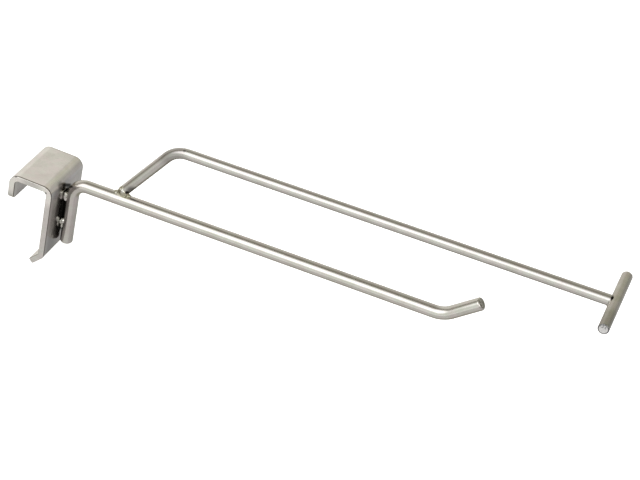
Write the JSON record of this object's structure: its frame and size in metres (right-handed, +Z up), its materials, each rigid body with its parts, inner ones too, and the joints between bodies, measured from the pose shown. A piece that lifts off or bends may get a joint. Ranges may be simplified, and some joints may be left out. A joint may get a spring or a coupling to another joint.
{
  "type": "display hook",
  "caption": "Welded wire display hook: a sheet clip drops over a rail, an upturned hook wire carries goods and an upper arm ends in a cross bar for a tag.",
  "frame": {"origin": "middle of the rail seat, the flat underside of the clip's top plate", "axes": "+Z up, +X along the rail, +Y to the back of the rail, so the hook points towards -Y"},
  "size_m": [0.045, 0.2787, 0.0878],
  "materials": {
    "sheet_metal": "satin nickel plate on bent sheet, with bright cut edges",
    "bright_wire": "satin nickel plate on drawn wire",
    "weld_metal": "plated weld bead, shiny and uneven"
  },
  "bodies": {
    "root": {"rail_clip": "sheet_metal", "hook_wire": "bright_wire", "tag_arm": "bright_wire", "tag_bar": "bright_wire", "upper_leg_weld": "weld_metal", "lower_leg_weld": "weld_metal", "arm_weld": "weld_metal", "bar_weld": "weld_metal"}
  },
  "joints": []
}
